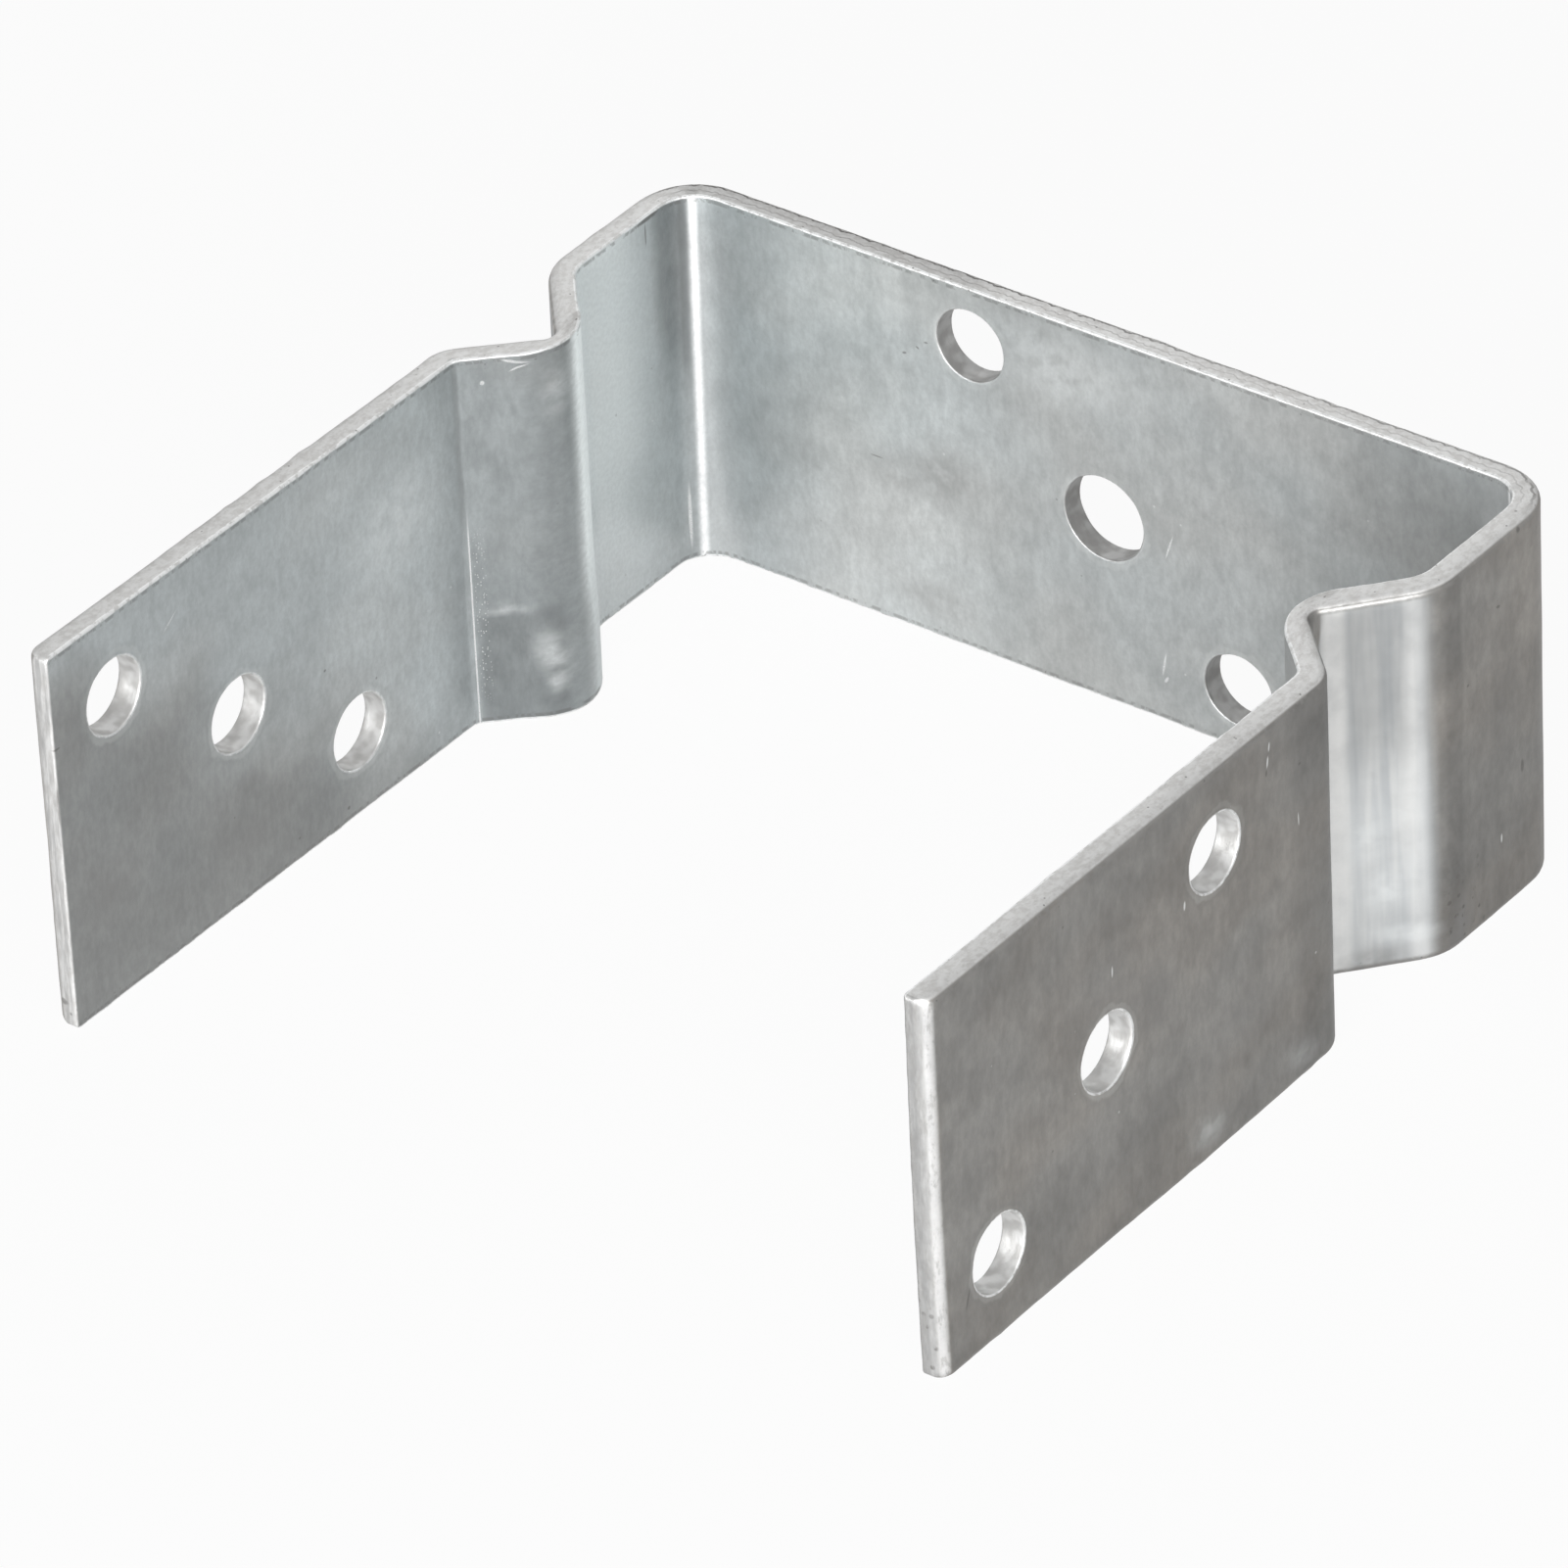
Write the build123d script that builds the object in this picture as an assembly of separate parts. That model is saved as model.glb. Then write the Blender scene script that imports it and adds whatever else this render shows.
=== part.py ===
from build123d import *
import os

# Post anchor folded from one flat steel strip: a base plate, two legs and, near the foot of
# each leg, a rounded rib pressed inwards that carries the end of the post.
# Units are millimetres. The part lies on its strip edges: X runs across the opening, the legs
# reach towards -Y, the strip's width runs along Z. The origin is the centre of the middle
# base hole, on the face of the base plate that goes against the concrete.

# Strip
strip_width = 60.0
thickness = 4.0

# Outline of the fold, seen along Z
opening = 140.0            # clear width between the legs, where the post stands
leg_length = 145.0         # concrete face of the base plate to the ends of the legs
box_set_back = 0.5         # how far each short side next to the base stands outside its leg
rib_depth = 12.8           # inside face of a leg to the sharp corner of its rib
rib_front = 57.0           # concrete face to the bend where the rib starts
rib_crest = 44.6           # concrete face to the rib's sharp corner
rib_back = 29.0            # concrete face to the bend where the rib ends

# Bend radii. The outside of a plain bend is one thickness more; the rib's crest is pressed
# with a sharper tool, so its groove has a radius of its own and the strip is thinner there
front_bend_radius = 2.0
back_bend_radius = 6.0
base_bend_radius = 5.6
crest_radius = 9.8         # the rib's rounded crest, inside the opening
groove_radius = 2.0        # bottom of the groove behind the crest

# Leg holes: three in a slanting row in each leg
leg_hole_diameter = 11.0
leg_hole_from_end = 38.0   # end of the leg to its middle hole
leg_hole_pitch = 25.0      # step along the leg
leg_hole_edge = 13.0       # outer holes' centres to the nearest long edge of the strip

# Base holes: a larger one in the middle and one to each side of it
middle_hole_diameter = 13.0
side_hole_diameter = 11.0
side_hole_pitch = 22.0     # step along the base plate
side_hole_edge = 9.5       # their centres to the nearest long edge of the strip

# Edges, softened by shearing on the outside of the fold and left crisper on its inside
outside_edge_radius = 1.3
inside_edge_radius = 0.5
end_corner_radius = 0.8    # short edges at the ends of the legs
hole_rim_radius = 0.4      # rims of all holes, both faces
punch_overshoot = 1.0      # how far a hole's cutter runs past each face
close = 0.001              # nearer than this counts as touching

half_opening = opening / 2
box_inside = half_opening + box_set_back
wall_middle = half_opening + thickness / 2
middle_hole_y = -(leg_length - leg_hole_from_end)
leg_hole_rise = strip_width / 2 - leg_hole_edge
side_hole_rise = strip_width / 2 - side_hole_edge


def inside_corners():
    """Sharp corners of the fold's inside line, from the left leg's end to the right leg's."""
    left_half = [
        (-half_opening, -leg_length),
        (-half_opening, -rib_front),
        (-half_opening + rib_depth, -rib_crest),
        (-box_inside, -rib_back),
        (-box_inside, -thickness),
    ]
    return left_half + [(-x, y) for x, y in reversed(left_half)]


def moved_out(corners, distance):
    """The same line moved outwards by a distance, corner by corner."""
    points = [Vector(x, y) for x, y in corners]
    runs = [(b - a).normalized() for a, b in zip(points, points[1:])]
    moved = []
    for point, before, after in zip(points, runs[:1] + runs, runs + runs[-1:]):
        before_normal = before.rotate(Axis.Z, 90)
        after_normal = after.rotate(Axis.Z, 90)
        mitre = (before_normal + after_normal) / (1 + before_normal.dot(after_normal))
        shifted = point + mitre * distance
        moved.append((shifted.X, shifted.Y))
    return moved


def rounded_line(corners, left_radii):
    """A line through the corners, rounded alike on the left half and the right half."""
    return FilletPolyline(*corners, radius=left_radii + left_radii[::-1])


inside_line = rounded_line(
    inside_corners(),
    [front_bend_radius, crest_radius, back_bend_radius, base_bend_radius],
)
outside_line = rounded_line(
    moved_out(inside_corners(), thickness),
    [
        front_bend_radius + thickness,
        groove_radius,
        back_bend_radius + thickness,
        base_bend_radius + thickness,
    ],
)


def folded_strip():
    """The outline between the two lines, as wide as the strip, with square edges."""
    with BuildSketch() as outline:
        with BuildLine():
            add(inside_line)
            add(outside_line)
            Line(inside_line @ 0, outside_line @ 0)
            Line(inside_line @ 1, outside_line @ 1)
        make_face()
    return extrude(outline.sketch, amount=strip_width / 2, both=True)


def rim_edges(strip, line):
    """The strip's edges on one of the two lines, without the seams that cross its faces."""

    def on_rim(edge):
        middle = edge @ 0.5
        crosses_face = abs(middle.Z) < close and abs(middle.Y + leg_length) > close
        return not crosses_face and line.distance_to(Vector(middle.X, middle.Y)) < close

    return strip.edges().filter_by(on_rim)


def softened(strip):
    """Rounds the short edges at the legs' ends, then the rims outside and inside."""
    short_edges = strip.edges().filter_by(Axis.X).group_by(Axis.Y)[0]
    strip = fillet(short_edges, end_corner_radius)
    strip = fillet(rim_edges(strip, outside_line), outside_edge_radius)
    return fillet(rim_edges(strip, inside_line), inside_edge_radius)


def hole_cutter(diameter, centre, axis):
    """A round punch through one wall; it leaves both rims of the hole rounded."""
    radius = diameter / 2
    flare = radius + hole_rim_radius
    face = thickness / 2
    rim = face - hole_rim_radius
    reach = face + punch_overshoot
    with BuildSketch(Plane.XZ) as half_section:
        with BuildLine():
            Polyline(
                (flare, face), (flare, reach), (0, reach), (0, -reach), (flare, -reach), (flare, -face)
            )
            RadiusArc((flare, -face), (radius, -rim), hole_rim_radius)
            Line((radius, -rim), (radius, rim))
            RadiusArc((radius, rim), (flare, face), hole_rim_radius)
        make_face()
    cutter = revolve(half_section.sketch, Axis.Z)
    return Plane(origin=centre, z_dir=axis) * cutter


def leg_holes(side):
    """Three punches for one leg; side is -1 for the left leg and 1 for the right."""
    cutters = []
    for step in (-1, 0, 1):
        along = middle_hole_y + step * leg_hole_pitch
        across = side * step * leg_hole_rise
        centre = (side * wall_middle, along, across)
        cutters.append(hole_cutter(leg_hole_diameter, centre, (1, 0, 0)))
    return cutters


def base_holes():
    """Three punches for the base plate, falling from left to right."""
    cutters = []
    for step in (-1, 0, 1):
        diameter = middle_hole_diameter if step == 0 else side_hole_diameter
        centre = (step * side_hole_pitch, -thickness / 2, -step * side_hole_rise)
        cutters.append(hole_cutter(diameter, centre, (0, 1, 0)))
    return cutters


post_anchor = softened(folded_strip())
for cutter in leg_holes(-1) + leg_holes(1) + base_holes():
    post_anchor -= cutter

os.makedirs("parts", exist_ok=True)
export_step(post_anchor, "parts/post_anchor.step")
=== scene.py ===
"""Looks of a galvanised fence post anchor: one folded strip, on a pale floor in soft light."""

import math
from types import SimpleNamespace

import bmesh
import bpy
import numpy as np
from mathutils import Euler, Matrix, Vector, noise


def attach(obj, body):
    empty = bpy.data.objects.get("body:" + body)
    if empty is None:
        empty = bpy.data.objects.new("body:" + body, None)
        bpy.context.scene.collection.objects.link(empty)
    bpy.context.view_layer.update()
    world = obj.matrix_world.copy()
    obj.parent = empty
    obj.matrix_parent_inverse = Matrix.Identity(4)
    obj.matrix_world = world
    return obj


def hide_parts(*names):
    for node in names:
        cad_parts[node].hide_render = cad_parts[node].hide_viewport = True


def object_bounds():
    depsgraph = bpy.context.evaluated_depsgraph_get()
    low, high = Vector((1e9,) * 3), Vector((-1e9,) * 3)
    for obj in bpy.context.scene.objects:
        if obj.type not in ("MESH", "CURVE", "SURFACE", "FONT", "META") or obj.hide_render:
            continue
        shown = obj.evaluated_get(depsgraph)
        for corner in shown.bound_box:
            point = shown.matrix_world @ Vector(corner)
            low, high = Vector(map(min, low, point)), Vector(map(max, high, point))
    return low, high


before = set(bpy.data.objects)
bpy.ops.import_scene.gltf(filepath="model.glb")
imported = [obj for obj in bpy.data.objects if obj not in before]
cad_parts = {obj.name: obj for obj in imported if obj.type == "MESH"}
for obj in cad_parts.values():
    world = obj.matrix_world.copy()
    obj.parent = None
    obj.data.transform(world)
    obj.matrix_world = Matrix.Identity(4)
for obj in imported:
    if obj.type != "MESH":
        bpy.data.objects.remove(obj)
cad_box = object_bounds()

# Sizes of the fold in millimetres, as in the part's source
STRIP_WIDTH = 60.0
THICKNESS = 4.0
HALF_OPENING = 70.0
LEG_LENGTH = 145.0
BOX_SET_BACK = 0.5
RIB_DEPTH = 12.8
RIB_FRONT = 57.0
RIB_CREST = 44.6
RIB_BACK = 29.0
INSIDE_RADII = (2.0, 9.8, 6.0, 5.6)  # front bend, crest, back bend, base bend
OUTSIDE_RADII = (6.0, 2.0, 10.0, 9.6)
LEG_HOLE_RADIUS = 5.5
MIDDLE_HOLE_RADIUS = 6.5
LEG_HOLE_Y = (-132.0, -107.0, -82.0)
LEG_HOLE_RISE = 17.0
BASE_HOLE_X = 22.0
BASE_HOLE_RISE = 20.5
HALF_STRIP = 219.3                 # base plate's middle to a leg's end, along the strip

# Edge radii: rolled over on the outside of the fold, crisper on the inside
OUTSIDE_EDGE = 1.25
INSIDE_EDGE = 0.45
END_OUTSIDE_EDGE = 2.4
END_INSIDE_EDGE = 0.5
END_SHORT_EDGE = 0.9
HOLE_RIM = 0.45
WALL_BULGE = 0.05                  # how much wider a hole is halfway through

# How finely the strip is divided
RUN_STEP = 1.15                    # along straight runs
BEND_STEPS = (7, 16, 7, 12)
FACE_ROWS = 56                     # across the flat of the strip
EDGE_COLUMNS = 4                   # across the flat of a sheared edge
ARC_STEPS = 3                      # in half of a rounded edge
END_DEPTHS = (0.0, 0.04, 0.14, 0.3, 0.5, 0.75, 1.05, 1.4, 1.85, 2.4)
END_RUN_STEPS = 3                  # plain steps that the end depths take the place of
HOLE_MARGIN = 1.9                  # ring of finer cells round each hole
HOLE_FACE_SHARES = (0.4, 0.75, 1.0)  # rings between that margin and the hole's rim
HOLE_RIM_STEPS = 4
HOLE_WALL_STEPS = 5
ON_FACE = 0.3                      # nearer than this to a flat face counts as on it

# The zinc coat: heights of its waves from long to short, and how far in from edges and holes
# the shortest reach
SLOW_WAVE = 0.1
COAT_WAVE = 0.02
FINE_WAVE = 0.06
EDGE_REACH = 1.1
HOLE_REACH = 0.8
COAT_SUNK = 0.08                   # the whole coat is sunk, so it stays within the solid
LUMP_COUNT = 60
LUMP_SHARE_ON_TOP = 0.7
FAR_FROM_HOLE = 6.0                # the largest distance from a hole that is told apart
BOX_MARGIN = 0.002                 # between the mesh and the sides of the CAD box

# How the fold itself strays: the left rib's crest stands in, the right leg leans out low down
LEFT_CREST = -115.0
CREST_LENGTH = 4.5
CREST_BULGE = 0.4
CREST_BULGE_BELOW = 0.5            # added towards the lower edge
LEG_LEAN = 0.45

# Shallow dents and swellings as (along the strip, height, width, tallness, depth outwards)
DENTS = (
    (-118.8, -20.5, 2.2, 3.6, -0.16), (-121.5, -25, 3, 2.2, 0.1),
    (-123.5, -11, 5, 1, 0.05), (103.5, -16.5, 2.4, 2.6, 0.15),
    (101.5, -23, 4.5, 1.5, -0.12), (107, 6, 2, 9, 0.05),
    (83, -16, 4, 6, -0.1), (-105, 8, 4, 14, -0.06),
    (-90, -6, 5, 12, 0.08),
)

# Soft patches as (strip place, length, width, angle, strength): painted highlights, where the
# zinc is painted brighter in place of reflections, and stains. A strip place is (along the strip
# from the middle of the base plate, height, depth from the inside face)
HIGHLIGHT_PATCHES = (
    ((-117.7, -19.5, 0), 2.3, 6.2, 8, 0.72), ((-117.5, -24, 0), 1.5, 3, 0, 0.7),
    ((-62.5, -13.5, 0), 6, 8, 0, 0.22), ((-124, -11.4, 0), 6.5, 1.2, -3, 0.5),
    ((103.5, -17, 4), 4.5, 5, 30, 0.6), ((106, -8, 4), 4, 7, 0, 0.5),
    ((101, -24.5, 4), 6, 2.2, 10, 0.5), ((-8, 22, 0), 24, 9, 0, 0.45),
    ((-146, 12, 0), 14, 12, 20, 0.4), ((-116.1, 22.5, 0), 2.2, 6, 0, 0.5),
    ((160, -25, 4), 6, 4, 10, 0.35), ((138, -26, 4), 6, 3, 20, 0.25),
)
STAINS = (
    ((-211, -12, 0), 8, 9, 20, 0.45), ((-182, -20, 0), 10, 6, -10, 0.4),
    ((-35.1, -5.1, 0), 9, 5, 10, 0.4), ((-27.6, -3, 0), 8, 9, -20, 0.5),
    ((-29.6, -24, 0), 13, 4, 0, 0.35), ((178, 5, 4), 20, 10, 30, 0.4),
    ((150, -12, 4), 12, 8, -20, 0.3), ((82, 4, 4), 6, 14, 0, 0.35),
    ((60, 10, 0), 14, 18, 0, 0.4), ((-116.5, 24.4, 0), 0.9, 2, 8, 0.5),
    ((94, -26, 4), 4, 7, 10, 0.95), ((105, -28, 4), 7, 3, 0, 0.6),
    ((-208, 9, 0), 7, 4, 0, 0.4),
)
PATCH_DEPTH = 1.5                  # how deep a patch or a stroke reaches into the sheet

# Strokes as (strip place, length, width, angle), all in millimetres and degrees
# Bright strokes are scratches, except the last, a painted highlight low in the box's left corner
BRIGHT_MARKS = (
    ((-125.5, 25.8, 0), 0.5, 0.45, 0), ((-120.2, 28.8, 0), 2.4, 0.3, -12),
    ((-119.6, 27.7, 0), 1.6, 0.2, 20), ((11, -0.8, 0), 2.6, 0.2, 72),
    ((9.6, -20.5, 0), 2.4, 0.22, 80), ((9.9, -23, 0), 0.8, 0.3, 60),
    ((143.7, 26.4, 4), 0.9, 0.2, 98), ((144.1, 24.2, 4), 1.1, 0.24, 98),
    ((163.4, 12.6, 4), 0.9, 0.28, 95), ((84, -18, 4), 0.9, 0.22, 92),
    ((179.6, 11.6, 4), 1.1, 0.2, 92), ((137.5, 11.5, 4), 1.3, 0.14, 88),
    ((-194, 22, 0), 2.2, 0.1, 35), ((-73.4, -22.5, 0), 0.5, 6.5, 0),
)
DARK_MARKS = (
    ((-159.9, -27.6, 0), 0.4, 0.35, 0), ((-162.9, -3.3, 0), 0.35, 0.3, 0),
    ((-211.6, 16.3, 0), 0.4, 0.8, 60), ((-218.7, 15.3, 0), 0.25, 0.9, 90),
    ((-33.3, 15.6, 0), 0.5, 0.25, 20), ((-31, 17.2, 0), 0.4, 0.22, -30),
    ((-29.5, 18.5, 0), 0.45, 0.2, 10), ((-38.9, -3.4, 0), 1.4, 0.14, 0),
    ((144.4, 22.6, 4), 0.3, 0.7, 0), ((79.2, 29, 4), 0.5, 0.6, 0),
    ((84.2, 19.5, 4), 0.6, 0.3, 20), ((79, -9, 4), 0.5, 1.4, 0),
    ((137, 20, 4), 0.4, 0.3, 0), ((-219.3, -26, 2.6), 0.5, 0.7, 0),
    ((-79.8, 29.3, 0), 3.2, 0.45, 2), ((-80.3, 27, 0), 2.4, 0.2, 90),
    ((-219.2, 6.4, 0.3), 0.2, 4, 0), ((91.6, 11, 4), 0.35, 0.3, 0),
    ((213.5, -20, 4), 0.3, 2, 20),
)
MARK_CORE = 0.45                   # share of a stroke that is at full strength

# Bands along the strip as (middle, half length, softness of the ends). These lie on both
# halves, and their middles are distances from the middle of the base plate
FRONT_FLANK = (121.7, 7.0, 1.6)
FLANK_FOOT = (122.5, 5.0, 2.0)
CREST = (112.2, 1.6, 0.9)
GROOVE_FRONT = (109.2, 0.4, 2.0)
GROOVE_BACK = (99.6, 0.2, 1.9)
BACK_BEND = (94.4, 0.8, 1.4)
SIDE_FOOT = (75.0, 1.2, 5.5)
# In the box's corners: a painted shade line, a painted highlight line and a painted glow beside
# them
CORNER_SHADE = (72.5, 0.3, 0.9)
CORNER_LINE = (70.4, 0.1, 1.25)
CORNER_GLOW = (67.6, 1.4, 5.0)
# And these on one half only: the left one is negative, the right one positive
LEFT_LEG_BY_RIB = (-149.0, 8.0, 9.0)
# At the left rib's foot: a painted highlight on the crease, painted shade beside it and painted
# glints
LEFT_CREASE = (-129.8, 0.12, 0.2)
LEFT_CREASE_SHADE = (-131.0, 0.3, 1.4)
LEFT_CREASE_SPECKS = (-127.9, 0.4, 1.1)
BASE_LEFT_EDGE = (-46.0, 22.0, 8.0)
BASE_LEFT_FACE = (-38.0, 8.0, 15.0)
RIGHT_SIDE_SOOT = (92.5, 2.5, 3.5)
RIGHT_LEG_BY_RIB = (133.0, 2.5, 6.0)

SKIN = (0.5, 1.0)                  # depths between which an inside face's marks fade out
CORNER_SLANT = 0.016               # of the lines in the box's corners, per mm of height

METALLIC = 0.8
BUMP_STRENGTH = 0.6
BUMP_DISTANCE = 0.00006

# Floor, light and camera, in metres and degrees
FLOOR_SIZE = 6.0
FLOOR_TONE = 0.86
FLOOR_SEEN = 0.95                  # how far the floor reads as plain white
FLOOR_MIRRORED = 0.52              # the same in reflections, as a share of that
ROOM_LEVEL = 0.05                  # the light that the room gives
ROOM_MIRRORED = 0.8
SOFTBOXES = (                      # name, azimuth from -Y towards +X, elevation, power
    ("softbox_front", 20, 8, 24.0),
    ("softbox_right", 60, 8, 10.0),
    ("softbox_left", -10, 8, 8.0),
    ("softbox_back", -142, 35, 1.35),
)
SOFTBOX_DISTANCE = 1.4
SOFTBOX_SIZE = (0.7, 0.6)
SOFTBOX_AIM = (0, -0.07, 0)
SENSOR_WIDTH = 36
FOCAL_LENGTH = 307.256
CAMERA_PLACE = (0.91794, -1.24516, 1.00239)
CAMERA_ANGLES = (55.894, 2.3568, 36.5865)


def fold_corners():
    """Sharp corners of the fold's inside line, from the left leg's end to the right one's."""
    box_inside = HALF_OPENING + BOX_SET_BACK
    left = [
        (-HALF_OPENING, -LEG_LENGTH),
        (-HALF_OPENING, -RIB_FRONT),
        (-HALF_OPENING + RIB_DEPTH, -RIB_CREST),
        (-box_inside, -RIB_BACK),
        (-box_inside, -THICKNESS),
    ]
    return np.array(left + [(-x, y) for x, y in left[::-1]])


def moved_out(corners, distance):
    """The corners of the same line, moved outwards by a distance."""
    runs = np.diff(corners, axis=0)
    runs /= np.linalg.norm(runs, axis=1)[:, None]
    before = np.vstack([runs[:1], runs])
    after = np.vstack([runs, runs[-1:]])
    before_normal = np.column_stack([-before[:, 1], before[:, 0]])
    after_normal = np.column_stack([-after[:, 1], after[:, 0]])
    spread = 1 + (before_normal * after_normal).sum(1)
    return corners + (before_normal + after_normal) * (distance / spread)[:, None]


def runs_and_bends(corners, radii):
    """The rounded line as a list of pieces: ("run", start, end) or ("bend", points)."""
    pieces = []
    start = corners[0]
    for index, corner in enumerate(corners[1:-1]):
        before = corner - corners[index]
        after = corners[index + 2] - corner
        before /= np.linalg.norm(before)
        after /= np.linalg.norm(after)
        turn = math.atan2(before[0] * after[1] - before[1] * after[0], before @ after)
        radius = radii[index]
        reach = radius * math.tan(abs(turn) / 2)
        bend_start = corner - before * reach
        to_centre = np.array([-before[1], before[0]]) * math.copysign(radius, turn)
        centre = bend_start + to_centre
        arm = -to_centre
        steps = BEND_STEPS[min(index, len(radii) - 1 - index)]
        points = []
        for angle in np.linspace(0, turn, steps + 1):
            c, s = math.cos(angle), math.sin(angle)
            points.append(centre + np.array([c * arm[0] - s * arm[1], s * arm[0] + c * arm[1]]))
        pieces.append(("run", start, bend_start))
        pieces.append(("bend", np.array(points)))
        start = points[-1]
    pieces.append(("run", start, corners[-1]))
    return pieces


def stations():
    """Matching points on the inside and outside lines, and the distance along the strip."""
    corners = fold_corners()
    inside = runs_and_bends(corners, INSIDE_RADII + INSIDE_RADII[::-1])
    outside = runs_and_bends(moved_out(corners, THICKNESS), OUTSIDE_RADII + OUTSIDE_RADII[::-1])
    lines = ([], [])
    for number, (piece_in, piece_out) in enumerate(zip(inside, outside)):
        for line, piece in zip(lines, (piece_in, piece_out)):
            if piece[0] == "bend":
                line.extend(piece[1][:-1])
                continue
            length = np.linalg.norm(piece_in[2] - piece_in[1])
            count = max(2, round(length / RUN_STEP))
            shares = np.linspace(0, 1, count + 1)
            end_shares = np.array(END_DEPTHS) / length
            if number == 0:
                shares = np.concatenate([end_shares, shares[END_RUN_STEPS:]])
            if number == len(inside) - 1:
                shares = np.concatenate([shares[:-END_RUN_STEPS], 1 - end_shares[::-1]])
            else:
                shares = shares[:-1]
            line.extend(piece[1] + (piece[2] - piece[1]) * shares[:, None])
    line_in, line_out = (np.array(line) for line in lines)
    middle = (line_in + line_out) / 2
    along = np.concatenate([[0], np.cumsum(np.linalg.norm(np.diff(middle, axis=0), axis=1))])
    return line_in, line_out, along - along[-1] / 2


def inset(radius, depth):
    """How far a rounded edge stands back at a depth under the face it rounds off."""
    left = np.clip(radius - depth, 0, None)
    return radius - np.sqrt(np.clip(radius * radius - left * left, 0, None))


def rounded_edge(edge):
    """Points round an edge as their stand-backs from the face and from the side, face first."""
    angles = np.radians(np.linspace(0, 90, 2 * ARC_STEPS + 1))
    return edge * (1 - np.cos(angles)), edge * (1 - np.sin(angles))


def section():
    """The strip's section as a loop of points: depths from the inside face and heights, in mm.

    It starts at the lower inside edge, goes up the inside face, across the top, down the
    outside face and back under the bottom. Also returns the numbers of steps up a face and
    across a side."""
    half = STRIP_WIDTH / 2
    edge_in, side_in = rounded_edge(INSIDE_EDGE)
    edge_out, side_out = rounded_edge(OUTSIDE_EDGE)
    rows = np.linspace(-1, 1, FACE_ROWS + 1)[1:-1]
    flat = np.zeros(len(rows))
    mid = ARC_STEPS
    up_depth = np.concatenate([edge_in[mid::-1], flat, edge_in[: mid + 1]])
    up_height = np.concatenate([
        side_in[mid::-1] - half, rows * (half - INSIDE_EDGE), half - side_in[: mid + 1]
    ])
    across = np.linspace(INSIDE_EDGE, THICKNESS - OUTSIDE_EDGE, EDGE_COLUMNS + 1)[1:-1]
    top_depth = np.concatenate([
        edge_in[mid + 1:], across, THICKNESS - edge_out[: mid: -1]
    ])
    top_height = np.concatenate([
        half - side_in[mid + 1:], np.full(len(across), half), half - side_out[: mid: -1]
    ])
    down_depth = THICKNESS - np.concatenate([edge_out[mid::-1], flat, edge_out[: mid + 1]])
    down_height = np.concatenate([
        half - side_out[mid::-1], -rows * (half - OUTSIDE_EDGE), side_out[: mid + 1] - half
    ])
    depth = np.concatenate([up_depth, top_depth, down_depth, top_depth[::-1]])
    height = np.concatenate([up_height, top_height, down_height, -top_height[::-1]])
    return depth, height, len(up_depth) - 1, len(top_depth) + 1


def strip_grid():
    """Points and strip places of every station's section, and the section's step numbers."""
    line_in, line_out, along = stations()
    depth, height, rows, columns = section()
    to_left = along - along[0]
    end_depth = np.minimum(to_left, to_left[-1] - to_left)
    stand_out = inset(END_OUTSIDE_EDGE, end_depth)[:, None]
    stand_in = inset(END_INSIDE_EDGE, end_depth)[:, None]
    stand_side = inset(END_SHORT_EDGE, end_depth)[:, None]
    share = (stand_in + depth / THICKNESS * (THICKNESS - stand_in - stand_out)) / THICKNESS
    tall = height * (1 - stand_side * 2 / STRIP_WIDTH)
    flat = line_in[:, None] + (line_out - line_in)[:, None] * share[..., None]
    points = np.dstack([flat, tall])
    places = np.dstack([np.broadcast_to(along[:, None], share.shape), tall, share * THICKNESS])
    return points, places, rows, columns


def hole_list():
    """Each hole as (centre on the inside face, direction along the strip, outward, radius)."""
    holes = []
    for side in (-1, 1):
        for step, y in zip((-1, 0, 1), LEG_HOLE_Y):
            centre = (side * HALF_OPENING, y, side * step * LEG_HOLE_RISE)
            holes.append((centre, (0, -side, 0), (side, 0, 0), LEG_HOLE_RADIUS))
    for step in (-1, 0, 1):
        radius = MIDDLE_HOLE_RADIUS if step == 0 else LEG_HOLE_RADIUS
        centre = (step * BASE_HOLE_X, -THICKNESS, -step * BASE_HOLE_RISE)
        holes.append((centre, (1, 0, 0), (0, 1, 0), radius))
    return [tuple(np.array(v, float) for v in hole[:3]) + (hole[3],) for hole in holes]


def block_around(points, faces, centre, tangent, outward, radius):
    """Stations and rows of the smallest block of cells that clears a hole on both faces."""
    reach = radius + HOLE_MARGIN
    corners = []
    for side_columns, depth in faces:
        offset = points[:, side_columns] - (centre + outward * depth)
        on_face = np.abs(offset @ outward) < ON_FACE
        near = on_face & (np.abs(offset @ tangent) <= reach) & (np.abs(offset[..., 2]) <= reach)
        picked = np.argwhere(near)
        corners += [picked.min(0), picked.max(0)]
    (first, low), (last, high) = np.min(corners, 0), np.max(corners, 0)
    return first, last, low, high


def ring_order(first, last, low, high):
    """(station, row) pairs round a block, once round and starting at its low first corner."""
    pairs = [(i, low) for i in range(first, last)]
    pairs += [(last, j) for j in range(low, high)]
    pairs += [(i, high) for i in range(last, first, -1)]
    pairs += [(first, j) for j in range(high, low, -1)]
    return pairs


def unit(local):
    """Directions from a hole's axis to points in its own plane."""
    return local / np.linalg.norm(local, axis=1)[:, None]


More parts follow.
